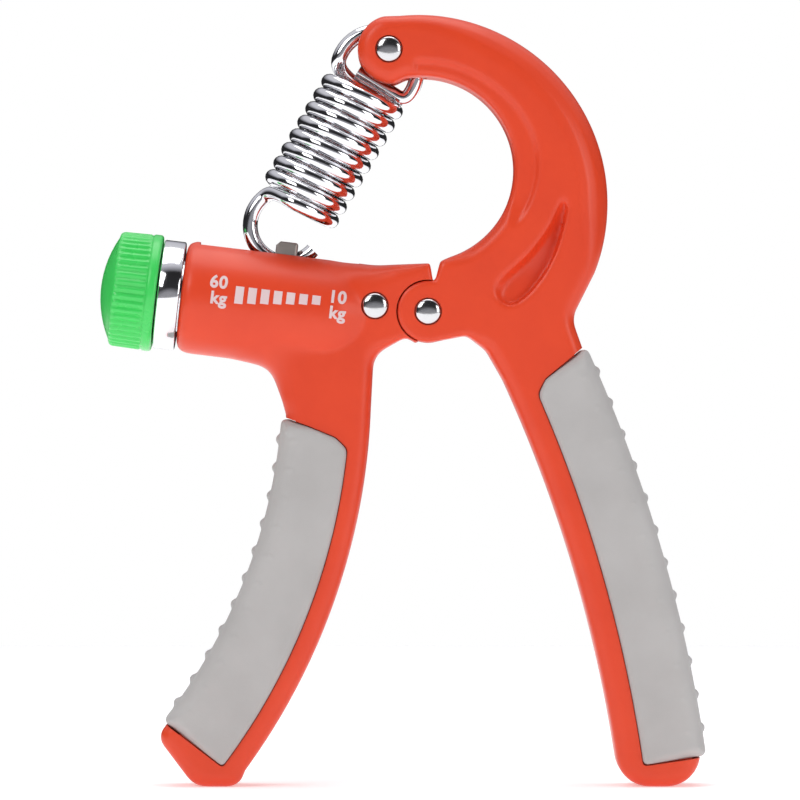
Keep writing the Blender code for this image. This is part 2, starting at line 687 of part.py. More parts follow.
# ---- End block that carries the screw's tail ----
block = place("end_block", mesh_from("end_block", *turned(rod_profile(
    (block_start, block_end - GAP, END_BLOCK_DIAMETER)), 20)), barrel, NYLON)
cut(block, "tail_bearing", turned(rod_profile(
    (block_end - TAIL_LENGTH - GAP, block_end + 2.0, TAIL_DIAMETER + 2 * GAP)), 20), barrel)
cut(block, "block_rivet_hole", across(turned(rod_profile(
    (-HALF, HALF, RIVET_SHANK + 2 * GAP)), 20)), pivot, barrel_rivet_at)

# ---- Chrome ring closing the barrel ----
ring_start = BARREL_LENGTH + GAP
ring_bore = JOURNAL_DIAMETER / 2 + GAP
ring_radius = RING_DIAMETER / 2
spigot_radius = BORE_DIAMETER / 2 - GAP
place("barrel_ring", mesh_from("barrel_ring", *turned([
    (ring_start - SPIGOT_LENGTH, ring_bore), (ring_start - SPIGOT_LENGTH, spigot_radius),
    (ring_start, spigot_radius), (ring_start, ring_radius - RING_EDGE), (ring_start + RING_EDGE, ring_radius),
    (ring_start + RING_LENGTH - RING_EDGE, ring_radius),
    (ring_start + RING_LENGTH, ring_radius - RING_EDGE), (ring_start + RING_LENGTH, ring_bore),
], 36, closed=True)), barrel, CHROME)

# ---- Adjusting screw and what is fixed to it ----
clip_end = ring_start - SPIGOT_LENGTH - GAP
clip_start = clip_end - CLIP_THICKNESS
hex_start = KNOB_START + KNOB_RECESS + KNOB_WEB + GAP
hex_end = hex_start + HEX_LENGTH
place("adjusting_screw", mesh_from("adjusting_screw", *turned(rod_profile(
    (block_end - TAIL_LENGTH, block_end + 0.6, TAIL_DIAMETER),
    (block_end + 0.6, clip_start - 1.0, SCREW_DIAMETER),
    (clip_start - 1.0, hex_start, JOURNAL_DIAMETER),
    (hex_start, hex_end, HEX_ACROSS)), 6 * 4)), barrel, STEEL)
place("retaining_clip", mesh_from("retaining_clip", *turned(ring_profile(
    clip_start, clip_end, JOURNAL_DIAMETER + 2 * GAP, CLIP_DIAMETER), 18, closed=True)),
    barrel, STEEL)
place("thrust_washer", mesh_from("thrust_washer", *turned(ring_profile(
    KNOB_START, KNOB_START + THRUST_THICKNESS, JOURNAL_DIAMETER + 2 * GAP, THRUST_DIAMETER), 24,
    closed=True)),
    barrel, STEEL)
place("knob_insert", mesh_from("knob_insert", *turned(ring_profile(
    hex_start, hex_end, HEX_ACROSS + 2 * GAP, INSERT_DIAMETER), 6 * 4, closed=True)),
    barrel, BRASS)
screw_seat = hex_end + GAP
place("knob_screw", mesh_from("knob_screw", *turned(rod_profile(
    (screw_seat, screw_seat + KNOB_SCREW_HEAD, INSERT_DIAMETER - 2.0)), 18)), barrel, STEEL)

# ---- Knob and its cap ----
knob_radius = KNOB_DIAMETER / 2
cap_radius = CAP_DIAMETER / 2
cap_seat = screw_seat + KNOB_SCREW_HEAD + GAP
recess_radius = THRUST_DIAMETER / 2 + GAP
plug_radius = INSERT_DIAMETER / 2 + GAP
place("knob", mesh_from("knob", *turned([
    (KNOB_START + KNOB_RECESS, JOURNAL_DIAMETER / 2 + GAP),
    (KNOB_START + KNOB_RECESS, recess_radius), (KNOB_START, recess_radius),
    (KNOB_START, knob_radius - KNOB_EDGE), (KNOB_START + KNOB_EDGE, knob_radius),
    (KNOB_START + KNOB_FLANGE, knob_radius),
    (KNOB_START + KNOB_FLANGE + 3 * KNOB_STEP, knob_radius - KNOB_STEP),
    (KNOB_END - 2 * KNOB_EDGE, knob_radius - KNOB_STEP),
    (KNOB_END, knob_radius - KNOB_STEP - 1.6 * KNOB_EDGE),
    (KNOB_END, cap_radius + GAP), (cap_seat, cap_radius + GAP), (cap_seat, plug_radius),
    (hex_start - GAP, plug_radius), (hex_start - GAP, JOURNAL_DIAMETER / 2 + GAP),
], 2 * KNOB_FLUTES, closed=True, flutes=(6, 7))), barrel, GREEN)
dome_radius = (cap_radius ** 2 + CAP_RISE ** 2) / (2 * CAP_RISE)
dome = [(KNOB_END + CAP_RISE - dome_radius + math.sqrt(dome_radius ** 2 - radius ** 2), radius)
        for radius in (cap_radius, cap_radius * 0.85, cap_radius * 0.6, cap_radius * 0.3, 0.0)]
place("knob_cap", mesh_from("knob_cap", *turned(
    [(cap_seat + GAP, 0.0), (cap_seat + GAP, cap_radius)] + dome, 36)), barrel, GREEN)

# ---- Carriage that runs on the screw and carries the spring's hook ----
carriage_half = CARRIAGE_LENGTH / 2
carriage = place("carriage", mesh_from("carriage", *turned(rod_profile(
    (-carriage_half, carriage_half, CARRIAGE_DIAMETER)), 24)), barrel, STEEL,
    (CARRIAGE_PLACE, 0.0, 0.0))
hook_bottom = HOOK_HEIGHT - HOOK_RADIUS
cut(carriage, "lug", box((-LUG_LENGTH / 2, -LUG_WIDTH / 2, 1.0),
                         (LUG_LENGTH / 2, LUG_WIDTH / 2, LUG_TOP)),
    barrel, (CARRIAGE_PLACE, 0.0, 0.0), "UNION")
cut(carriage, "hook_eye", box((-LUG_LENGTH, -WIRE / 2 - GAP, hook_bottom - WIRE / 2 - GAP),
                              (LUG_LENGTH, WIRE / 2 + GAP, hook_bottom + WIRE / 2 + EYE_PLAY)),
    barrel, (CARRIAGE_PLACE, 0.0, 0.0))
cut(carriage, "screw_thread", turned(rod_profile(
    (-CARRIAGE_LENGTH, CARRIAGE_LENGTH, SCREW_DIAMETER + 2 * GAP)), 24),
    barrel, (CARRIAGE_PLACE, 0.0, 0.0))

# ---- Spring ----
hook_x, hook_z = from_barrel(CARRIAGE_PLACE + HOOK_SHIFT, HOOK_HEIGHT)
to_rivet = spring_rivet_at - Vector((hook_x, 0.0, hook_z))
spring_lean = to_rivet.normalized()
spring_axis = axis_empty("spring_axis", (Vector((PIVOT_X, 0.0, LEG_HEIGHT)) + spring_rivet_at) * MM)
hook_route, coil_route, loop_route = spring_route(spring_lean, to_rivet.length)
wire("spring_lower_hook", trimmed(hook_route, False, True), spring_axis, CHROME)
wire("spring_coils", trimmed(coil_route, True, True), spring_axis, CHROME)
wire("spring_upper_loop", trimmed(loop_route, True, False), spring_axis, CHROME)

# The slot in the arm's tip leaves room for the loop as it swings round its rivet.
loop_centre = spring_rivet_at - spring_lean * (LOOP_RADIUS - WIRE / 2 - RIVET_SHANK / 2 - GAP)
cut(right_handle, "loop_slot", prism(
    arc((loop_centre.x, loop_centre.z), LOOP_RADIUS + WIRE / 2 + 2 * GAP, 0.0, 350.0, 35),
    WIRE / 2 + LOOP_SLOT_PLAY), pivot)
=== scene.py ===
"""Looks of the adjustable hand grip strengthener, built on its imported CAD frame.

Sizes are in millimetres, and MM turns them into metres. X runs along the width, Y
through the thickness towards the back and +Z up.
"""

import math

import bpy
from mathutils import Matrix, Vector


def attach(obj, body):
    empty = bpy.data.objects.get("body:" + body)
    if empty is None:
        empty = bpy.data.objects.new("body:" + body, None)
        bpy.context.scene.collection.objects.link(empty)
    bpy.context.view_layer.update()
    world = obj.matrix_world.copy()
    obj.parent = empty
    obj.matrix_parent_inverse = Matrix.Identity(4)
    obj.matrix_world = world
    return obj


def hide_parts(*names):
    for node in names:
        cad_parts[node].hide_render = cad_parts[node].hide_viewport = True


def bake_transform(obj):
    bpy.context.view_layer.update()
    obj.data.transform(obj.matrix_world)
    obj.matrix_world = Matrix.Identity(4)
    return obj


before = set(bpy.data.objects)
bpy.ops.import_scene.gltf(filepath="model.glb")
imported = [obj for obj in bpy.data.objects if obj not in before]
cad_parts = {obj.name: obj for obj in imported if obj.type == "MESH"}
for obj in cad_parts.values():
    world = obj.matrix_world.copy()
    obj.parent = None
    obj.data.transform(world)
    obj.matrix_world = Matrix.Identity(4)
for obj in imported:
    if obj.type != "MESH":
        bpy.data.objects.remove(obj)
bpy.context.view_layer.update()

MM = 0.001


# ---- Left handle ----
# One orange ABS moulding: the barrel that holds the load screw, the hinge tongue and the
# bowed leg. The leg and web are a plate with rounded edges, and the barrel grows out of it
# with soft moulded transitions. Bores, slot and seats are cut crisp afterwards.
PIVOT = Vector((5.2, 0.0, 98.4))     # middle of the main hinge
HALF = 8.7                           # half of the handles' thickness
HUB = 6.4                            # radius of the hinge cheeks
PAD_PROUD = 1.0                      # the pads stand this far out of the handles
BARREL_TILT = math.radians(6.85)
BARREL_DROP = 2.9                    # the barrel's axis passes this far under the pivot
BARREL_FOOT = Vector((4.854, 0.0, 95.521))
PAST = 14.0                          # cutting tools reach this far from the middle
TONGUE = 3.6                         # half of the hinge tongue's thickness
BORE = 7.7                           # radius of the barrel's bore
BARREL_END = 51.2                    # the barrel's open end, from the pivot
BARREL_RADIUS = 11.7
SHANK_BORE = 1.8                     # radius of the rivets' holes
BARREL_FRAME = Matrix.Translation(BARREL_FOOT * MM) @ Matrix.Rotation(math.pi, 4, "Z") \
    @ Matrix.Rotation(-BARREL_TILT, 4, "Y")


def finish(name, tone, second_tone, roughness, uneven, grain, grain_height, metallic=0.0):
    """A Principled finish of two close tones, with uneven gloss and a fine surface grain.

    grain is the grain's size and grain_height its height, both in millimetres.
    """
    made = bpy.data.materials.new(name)
    made.use_nodes = True
    nodes, links = made.node_tree.nodes, made.node_tree.links
    shader = nodes["Principled BSDF"]
    shader.inputs["Metallic"].default_value = metallic
    place = nodes.new("ShaderNodeTexCoord")
    cloud = nodes.new("ShaderNodeTexNoise")
    cloud.inputs["Scale"].default_value = 90.0
    cloud.inputs["Detail"].default_value = 4.0
    tones = nodes.new("ShaderNodeValToRGB")
    tones.color_ramp.elements[0].position = 0.35
    tones.color_ramp.elements[0].color = (*tone, 1.0)
    tones.color_ramp.elements[1].position = 0.68
    tones.color_ramp.elements[1].color = (*second_tone, 1.0)
    gloss = nodes.new("ShaderNodeMapRange")
    gloss.inputs["From Min"].default_value = 0.3
    gloss.inputs["From Max"].default_value = 0.7
    gloss.inputs["To Min"].default_value = roughness - uneven
    gloss.inputs["To Max"].default_value = roughness + uneven
    speck = nodes.new("ShaderNodeTexNoise")
    speck.inputs["Scale"].default_value = 1.0 / (grain * MM)
    speck.inputs["Detail"].default_value = 3.0
    bump = nodes.new("ShaderNodeBump")
    bump.inputs["Strength"].default_value = 0.6
    bump.inputs["Distance"].default_value = grain_height * MM
    links.new(place.outputs["Object"], cloud.inputs["Vector"])
    links.new(place.outputs["Object"], speck.inputs["Vector"])
    links.new(cloud.outputs["Fac"], tones.inputs["Fac"])
    links.new(cloud.outputs["Fac"], gloss.inputs["Value"])
    links.new(speck.outputs["Fac"], bump.inputs["Height"])
    links.new(tones.outputs["Color"], shader.inputs["Base Color"])
    links.new(gloss.outputs["Result"], shader.inputs["Roughness"])
    links.new(bump.outputs["Normal"], shader.inputs["Normal"])
    return made


def tune(material, settings):
    """Set more of a finish's shader sockets, by their names."""
    for socket, value in settings.items():
        material.node_tree.nodes["Principled BSDF"].inputs[socket].default_value = value


def arc(centre, radius, start, end, count):
    """Points on a circle in the XZ plane between two angles in degrees."""
    points = []
    for step in range(count + 1):
        angle = math.radians(start + (end - start) * step / count)
        points.append((centre[0] + radius * math.cos(angle), centre[1] + radius * math.sin(angle)))
    return points


def fillet(corners, step=7.0):
    """An outline from (x, z, radius) corners, each rounded by its radius."""
    outline = []
    count = len(corners)
    for index, (x, z, radius) in enumerate(corners):
        if radius <= 0.0:
            outline.append((x, z))
            continue
        corner = Vector((x, z))
        before = (Vector(corners[index - 1][:2]) - corner).normalized()
        after = (Vector(corners[(index + 1) % count][:2]) - corner).normalized()
        half = before.angle(after) / 2
        middle = corner + (before + after).normalized() * (radius / math.sin(half))
        start = corner + before * (radius / math.tan(half)) - middle
        turn = math.copysign(math.pi - 2 * half, before.x * after.y - before.y * after.x) * -1
        steps = max(2, round(abs(math.degrees(turn)) / step))
        for number in range(steps + 1):
            angle = turn * number / steps
            outline.append((
                middle.x + start.x * math.cos(angle) - start.y * math.sin(angle),
                middle.y + start.x * math.sin(angle) + start.y * math.cos(angle),
            ))
    return outline


def plain(points):
    """Outline points as corners without rounding."""
    return [(x, z, 0.0) for x, z in points]


class Leg:
    """A bowed leg: its inner edge is an arc, and its outer edge stands off by its width."""

    def __init__(self, start, middle, end, width, flare, side):
        a, b, c = Vector(start), Vector(middle), Vector(end)
        divisor = 2 * (a.x * (b.y - c.y) + b.x * (c.y - a.y) + c.x * (a.y - b.y))
        self.centre = Vector((
            (a.dot(a) * (b.y - c.y) + b.dot(b) * (c.y - a.y) + c.dot(c) * (a.y - b.y)) / divisor,
            (a.dot(a) * (c.x - b.x) + b.dot(b) * (a.x - c.x) + c.dot(c) * (b.x - a.x)) / divisor,
        ))
        self.radius = (a - self.centre).length
        self.start = math.atan2(a.y - self.centre.y, a.x - self.centre.x)
        end_angle = math.atan2(c.y - self.centre.y, c.x - self.centre.x)
        sweep = (end_angle - self.start + math.pi) % (2 * math.pi) - math.pi
        self.turn = math.copysign(1.0, sweep)
        self.length = abs(sweep) * self.radius
        self.width = width
        self.flare = flare
        self.outward = side * (1.0 if self.centre.x < a.x else -1.0)

    def at(self, along, across):
        """A point a distance along the inner edge and a distance across the leg."""
        angle = self.start + self.turn * along / self.radius
        reach = self.radius + self.outward * across
        return (self.centre.x + reach * math.cos(angle), self.centre.y + reach * math.sin(angle))

    def across(self, along):
        """The leg's width a distance along it."""
        return self.width + self.flare * along / self.length

    def edge(self, start, end, count, share):
        """Points along an edge: share 0 is the inner edge, 1 the outer."""
        stations = [start + (end - start) * step / count for step in range(count + 1)]
        return [self.at(along, share * self.across(along)) for along in stations]

    def region(self, corners):
        """An outline from (along, across, radius) corners, followed closely along the leg."""
        flat = fillet(corners, 12.0)
        outline = []
        for point, after in zip(flat, flat[1:] + flat[:1]):
            pieces = max(1, math.ceil(abs(after[0] - point[0]) / 2.5))
            for piece in range(pieces):
                share = piece / pieces
                outline.append(self.at(point[0] + (after[0] - point[0]) * share,
                                       point[1] + (after[1] - point[1]) * share))
        return outline


def from_barrel(along, up):
    """A point of the barrel's axis frame, seen from the pivot."""
    sine, cosine = math.sin(BARREL_TILT), math.cos(BARREL_TILT)
    return (-along * cosine + (up - BARREL_DROP) * sine,
            along * sine + (up - BARREL_DROP) * cosine)


def inside_barrel(x, z):
    """A point seen from the pivot, in the barrel's axis frame."""
    sine, cosine = math.sin(BARREL_TILT), math.cos(BARREL_TILT)
    return -x * cosine + z * sine, x * sine + z * cosine + BARREL_DROP


def plate(name, outline, half, rounding, middle=0.0):
    """A plate with rounded edges: a filled circle is moved onto the outline, level by level.

    rounding gives the edge radius at a point. Points are in millimetres from the pivot.
    middle is where the plate's middle stands along Y.
    """
    area = sum(a[0] * b[1] - b[0] * a[1] for a, b in zip(outline, outline[1:] + outline[:1]))
    turn = 1.0 if area > 0 else -1.0
    steps = []
    for index, point in enumerate(outline):
        here = Vector(point)
        before = (here - Vector(outline[index - 1])).normalized()
        after = (Vector(outline[(index + 1) % len(outline)]) - here).normalized()
        side = (before + after).normalized()
        stretch = min(1.4, 1.0 / max(0.3, side.dot(after)))
        steps.append(Vector((-side.y, side.x)) * turn * stretch)
    turns = [math.radians(angle) for angle in (90, 70, 50, 32, 15, 0)]
    levels = [(-1, angle) for angle in turns] + [(1, angle) for angle in reversed(turns)]
    points, faces = [], []
    for side, angle in levels:
        for point, step in zip(outline, steps):
            radius = rounding(point)
            inset = step * radius * (1 - math.cos(angle))
            points.append(((PIVOT.x + point[0] + inset.x) * MM,
                           (middle + side * (half - radius * (1 - math.sin(angle)))) * MM,
                           (PIVOT.z + point[1] + inset.y) * MM))
    size = len(outline)
    faces = [list(range(size)), list(range(size * (len(levels) - 1), size * len(levels)))[::-1]]
    for level in range(len(levels) - 1):
        for index in range(size):
            after = (index + 1) % size
            near, far = level * size, (level + 1) * size
            faces.append((near + index, far + index, far + after, near + after))
    mesh = bpy.data.meshes.new(name)
    mesh.from_pydata(points, [], faces)
    piece = bpy.data.objects.new(name, mesh)
    bpy.context.scene.collection.objects.link(piece)
    choose(piece)
    bpy.ops.object.mode_set(mode="EDIT")
    bpy.ops.mesh.select_all(action="SELECT")
    bpy.ops.mesh.remove_doubles(threshold=0.00001)
    bpy.ops.mesh.normals_make_consistent(inside=False)
    bpy.ops.object.mode_set(mode="OBJECT")
    return piece


def choose(*pieces):
    """Select these pieces alone, with the first of them active."""
    bpy.ops.object.select_all(action="DESELECT")
    for piece in pieces:
        piece.select_set(True)
    bpy.context.view_layer.objects.active = pieces[0]


def turned(name, profile, steps, closed=False, frame_at=BARREL_FRAME):
    """A piece turned round the barrel's axis: its half-section is drawn, then spun."""
    bpy.ops.object.select_all(action="DESELECT")
    bpy.ops.mesh.primitive_plane_add(size=MM)
    piece = bpy.context.object
    piece.name = name
    bpy.ops.object.mode_set(mode="EDIT")
    bpy.ops.mesh.select_all(action="SELECT")
    bpy.ops.mesh.merge(type="CENTER")
    points = [Vector((x, 0.0, radius)) * MM for x, radius in profile]
    bpy.ops.transform.translate(value=points[0])
    if closed:
        points.append(points[0])
    for before, after in zip(points, points[1:]):
        bpy.ops.mesh.extrude_region_move(TRANSFORM_OT_translate={"value": after - before})
    bpy.ops.mesh.select_all(action="SELECT")
    bpy.ops.mesh.spin(steps=steps, angle=2 * math.pi, center=(0, 0, 0), axis=(1, 0, 0))
    bpy.ops.mesh.select_all(action="SELECT")
    bpy.ops.mesh.remove_doubles(threshold=0.000002)
    bpy.ops.mesh.normals_make_consistent(inside=False)
    bpy.ops.object.mode_set(mode="OBJECT")
    piece.matrix_world = frame_at
    bpy.ops.object.transform_apply(location=True, rotation=True, scale=True)
    return piece


def along_y(x, z):
    """A frame whose turning axis points to the back, at a place seen from the pivot."""
    return Matrix.Translation((PIVOT + Vector((x, 0.0, z))) * MM) \
        @ Matrix.Rotation(math.pi / 2, 4, "Z")


def block(name, low, high, frame_at=BARREL_FRAME, edge=0.0):
    """A box between two corners of a frame, with its edges eased."""
    low, high = Vector(low), Vector(high)
    bpy.ops.object.select_all(action="DESELECT")
    bpy.ops.mesh.primitive_cube_add(size=1.0)
    piece = bpy.context.object
    piece.name = name
    piece.matrix_world = frame_at @ Matrix.Translation((low + high) / 2 * MM) \
        @ Matrix.Diagonal((*((high - low) * MM), 1.0))
    bpy.ops.object.transform_apply(location=True, rotation=True, scale=True)
    if edge:
        bpy.ops.object.mode_set(mode="EDIT")
        bpy.ops.mesh.select_all(action="SELECT")
        bpy.ops.mesh.bevel(offset=edge * MM, segments=3, affect="EDGES")
        bpy.ops.object.mode_set(mode="OBJECT")
    return piece


def apply_all(piece):
    """Apply every modifier of a piece."""
    choose(piece)
    for modifier in list(piece.modifiers):
        bpy.ops.object.modifier_apply(modifier=modifier.name)


def combine(piece, tools, operation="DIFFERENCE"):
    """Cut closed tools out of a piece, or unite them with it."""
    for tool in tools:
        modifier = piece.modifiers.new("tool", "BOOLEAN")
        modifier.operation = operation
        modifier.object = tool
        modifier.solver = "MANIFOLD"
        apply_all(piece)
        bpy.data.objects.remove(tool)


def melt(piece, size, rounds):
    """Fuse a piece's shells into one skin, with inside corners as soft as a mould's."""
    skin = piece.modifiers.new("skin", "REMESH")
    skin.mode = "VOXEL"
    skin.voxel_size = size * MM
    soften = piece.modifiers.new("soften", "SMOOTH")
    soften.factor = 0.5
    soften.iterations = rounds
    apply_all(piece)


def crisp(piece, material, angle=32.0):
    """Give a piece its one finish and smooth shading, with hard edges past an angle."""
    piece.data.materials.clear()
    piece.data.materials.append(material)
    for face in piece.data.polygons:
        face.material_index = 0
    choose(piece)
    bpy.ops.object.shade_smooth_by_angle(angle=math.radians(angle))


def hub_rounding(point, full=2.6):
    """Edge rounding of a handle: crisp round the hinge, full further out."""
    reach = min(1.0, max(0.0, (math.hypot(*point) - 7.4) / 8.0))
    return 0.45 + (full - 0.45) * reach * reach * (3 - 2 * reach)


def pad_seat(leg, strip, top, bottom):
    """Tools that cut the seat of a grip pad in a leg and leave the core under the pad."""
    width = leg.width + PAD_PROUD
    core = width - 3.0
    slope = (top[0] - top[1]) / (width - strip - 2.6)
    past = top[0] - 0.22 + slope * 4.0
    edge = leg.region([
        (bottom + 0.25, strip - 0.15, 0.8), (top[1] + 2.0, strip - 0.15, 2.2),
        (top[1] - 0.22, strip + 2.6, 2.0), (past, width + 4.0, 0.0),
        (bottom + 0.25, width + 4.0, 0.0)])
    wall = leg.region([(bottom + 0.25, core, 0.0), (top[0] - 0.22 - slope * 3.0, core, 0.0),
                       (past, width + 4.0, 0.0), (bottom + 0.25, width + 4.0, 0.0)])
    flat = lambda point: 0.0
    return [plate("seat_front", edge, 2.2, flat, -9.2), plate("seat_back", edge, 2.2, flat, 9.2),
            plate("seat_wall", wall, 11.0, flat)]


def rivet_seat(x, z):
    """A tool that cuts a rivet's hole with a recess for its head on each side."""
    return turned("rivet_seat", [(-PAST, 0.0), (-PAST, 2.85), (-7.5, 2.85), (-7.5, SHANK_BORE),
                                 (6.9, SHANK_BORE), (6.9, 3.05), (PAST, 3.05), (PAST, 0.0)],
                  64, frame_at=along_y(x, z))


ORANGE = finish("orange_moulding", (0.80, 0.066, 0.020), (0.76, 0.058, 0.017), 0.36, 0.03,
                0.35, 0.012)
tune(ORANGE, {"Specular IOR Level": 0.38, "Coat Weight": 0.04, "Coat Roughness": 0.15})

BARREL_RIVET = (-11.0, 1.2)
left_leg = Leg((-11.9, -20.4), (-19.4, -60.0), (-39.8, -97.65), 17.4, 1.4, -1)
FLOOR = -PIVOT.z


def gusset_rounding(point):
    """Edge rounding of the left handle: very soft where the barrel grows out of it."""
    along, up = inside_barrel(*point)
    share = max(0.0, 1.0 - math.hypot((along - 41.0) / 15.0, (up + 11.0) / 11.0))
    top = max(0.0, 1.0 - math.hypot((along - 21.0) / 12.0, (up - 11.5) / 8.0))
    return hub_rounding(point) + 5.2 * min(1.0, 1.6 * share) + 4.6 * min(1.0, 1.6 * top)


left_corners = [(0.42, 10.0, 0.3), (-11.0, 9.6, 6.0), (*from_barrel(21.0, 11.3), 2.0)]
left_corners += [(*from_barrel(27.0, 3.0), 0.0), (*from_barrel(43.0, -1.0), 0.0)]
left_corners += [(*from_barrel(43.0, -9.4), 0.0), (*from_barrel(40.5, -11.6), 3.0)]
left_corners += [(-32.8, -11.6, 5.0), (-30.2, -18.6, 0.0)]
left_corners += plain(left_leg.edge(2.0, left_leg.length - 1.0, 40, 1.0))
left_corners += [(*left_leg.at(left_leg.length + 2.8, left_leg.width + left_leg.flare), 3.0),
                 (-48.4, FLOOR, 5.0), (-39.0, FLOOR, 3.5)]
left_corners += plain(left_leg.edge(left_leg.length - 3.0, 0.0, 40, 0.0))
left_corners += [(-11.3, -9.0, 5.0), (-4.6, -5.2, 2.0), (-2.4, -6.6, 0.0)]
left_corners += plain(arc((0.0, 0.0), 6.1, -108.0, 80.0, 40))
left_handle = plate("left_handle_body", fillet(left_corners), HALF, gusset_rounding)
shoulder = [(9.6 + 11.4 * share, 7.7 + 4.0 * math.sin(share * math.pi / 2) ** 1.5)
            for share in [step / 12 for step in range(13)]]
corner = 2.0
nose = [(BARREL_END - corner + corner * math.sin(math.radians(angle)),
         BARREL_RADIUS - corner + corner * math.cos(math.radians(angle)))
        for angle in (0, 20, 45, 70, 90)]
barrel = turned("barrel", [(shoulder[0][0], 0.0)] + shoulder + nose + [(BARREL_END, 0.0)], 96)
choose(left_handle, barrel)
bpy.ops.object.join()
melt(left_handle, 0.42, 7)
# The joint between the leg and the barrel is smoothed on, like a moulded fillet.
joint = left_handle.vertex_groups.new(name="joint")
for vertex in left_handle.data.vertices:
    spot = vertex.co / MM - PIVOT
    along, up = inside_barrel(spot.x, spot.z)
    under = 1.0 - math.hypot((along - 37.0) / 19.0, (up + 12.5) / 7.5) ** 2
    over = 1.0 - math.hypot((along - 17.5) / 10.0, (up - 9.0) / 6.5) ** 2
    weight = min(1.0, 1.8 * max(0.0, under, over))
    if weight > 0.0:
        joint.add([vertex.index], weight, "REPLACE")
flow = left_handle.modifiers.new("flow", "SMOOTH")
flow.factor = 0.5
flow.iterations = 70
flow.vertex_group = "joint"
apply_all(left_handle)
combine(left_handle, [
    turned("bore", [(9.0, 0.0), (9.0, 5.1), (17.8, 5.1), (17.8, BORE), (56.0, BORE),
                    (56.0, 0.0)], 64),
    block("hook_slot", (15.4, -3.5, 2.0), (48.6, 3.5, 18.0)),
    turned("front_pocket", [(-PAST, 0.0), (-PAST, HUB + 0.18), (-TONGUE, HUB + 0.18),
                            (-TONGUE, 0.0)], 96, frame_at=along_y(0.0, 0.0)),
    turned("back_pocket", [(TONGUE, 0.0), (TONGUE, HUB + 0.18), (PAST, HUB + 0.18),
                           (PAST, 0.0)], 96, frame_at=along_y(0.0, 0.0)),
    turned("sleeve_bore", [(-4.0, 0.0), (-4.0, 2.9), (4.0, 2.9), (4.0, 0.0)], 32,
           frame_at=along_y(0.0, 0.0)),
    rivet_seat(*BARREL_RIVET),
])
LEFT_PAD = (left_leg, 4.3, (2.4, 6.4), left_leg.length - 1.2)
combine(left_handle, pad_seat(*LEFT_PAD))
crisp(left_handle, ORANGE)
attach(left_handle, "frame")
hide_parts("left_handle")


# ---- Right handle ----
# The second ABS moulding: the C-shaped arm, two hinge cheeks round the tongue and the right
# leg. Its outside edge is well rounded, a stepped band follows the inside of the C, and a
# leaf-shaped hollow sits over the hinge on both faces.
def passing(points, pieces):
    """A smooth line through every point, with a number of pieces between each two."""
    points = [Vector(point) for point in points]
    line = []
    for index in range(len(points) - 1):
        before = points[max(0, index - 1)]
        start, end = points[index], points[index + 1]
        after = points[min(len(points) - 1, index + 2)]
        for piece in range(pieces):
            t = piece / pieces
            line.append(0.5 * (2 * start + (end - before) * t
                               + (2 * before - 5 * start + 4 * end - after) * t * t
                               + (3 * start - before - 3 * end + after) * t ** 3))
    return line + [points[-1]]


def skin(name, rings, side=1):
    """A closed piece over a row of rings of (x, y, z) points, seen from the pivot.

    side -1 makes the mirror image for the other face.
    """
    size = len(rings[0])
    points = [((PIVOT.x + x) * MM, side * y * MM, (PIVOT.z + z) * MM)
              for ring in rings for x, y, z in ring]
    faces = [list(range(size)), list(range(size * (len(rings) - 1), size * len(rings)))[::-1]]
    for row in range(len(rings) - 1):
        for index in range(size):
            after = (index + 1) % size
            faces.append((row * size + index, (row + 1) * size + index,
                          (row + 1) * size + after, row * size + after))
    mesh = bpy.data.meshes.new(name)
    mesh.from_pydata(points, [], faces)
    piece = bpy.data.objects.new(name, mesh)
    bpy.context.scene.collection.objects.link(piece)
    choose(piece)
    bpy.ops.object.mode_set(mode="EDIT")
    bpy.ops.mesh.select_all(action="SELECT")
    bpy.ops.mesh.normals_make_consistent(inside=False)
    bpy.ops.object.mode_set(mode="OBJECT")
    return piece


def arm_rounding(point):
    """Edge rounding of the right handle: generous along the outside of the C."""
    base = hub_rounding(point)
    x, z = point[0] - OUTSIDE_C[0], point[1] - OUTSIDE_C[1]
    if abs(math.hypot(x, z) - OUTSIDE_RADIUS) > 0.5:
        return base
    angle = math.degrees(math.atan2(z, x))
    share = max(0.0, min(1.0, (99.0 - angle) / 40.0, (angle + 24.0) / 24.0))
    return base + 3.4 * share * share * (3 - 2 * share)


ARM_TIP = (-7.5, 54.3)
SPRING_RIVET = (-8.1, 54.3)
OUTSIDE_C = (-1.7, 22.5)
OUTSIDE_RADIUS = 39.0
INSIDE_C = (-1.3, 29.5)
band_start = 14.0                    # inside the C's inner edge
band = []
for number in range(58):
    degrees = 94.0 - 2.4 * number
    angle = math.radians(degrees)
    crease = 22.5 + 1.7 * math.exp(-((degrees - 8.0) / 34.0) ** 2)
    fade = min(1.0, max(0.0, (degrees + 40.0) / 22.0))
    depth = -0.25 + 1.1 * fade * fade * (3 - 2 * fade)
    band.append([(INSIDE_C[0] + reach * math.cos(angle), y, INSIDE_C[1] + reach * math.sin(angle))
                 for reach, y in ((band_start, -PAST), (crease + 0.35, -PAST),
                                  (crease + 0.35, -HALF - 0.2), (crease - 0.4, -HALF + depth),
                                  (band_start, -HALF + depth))])
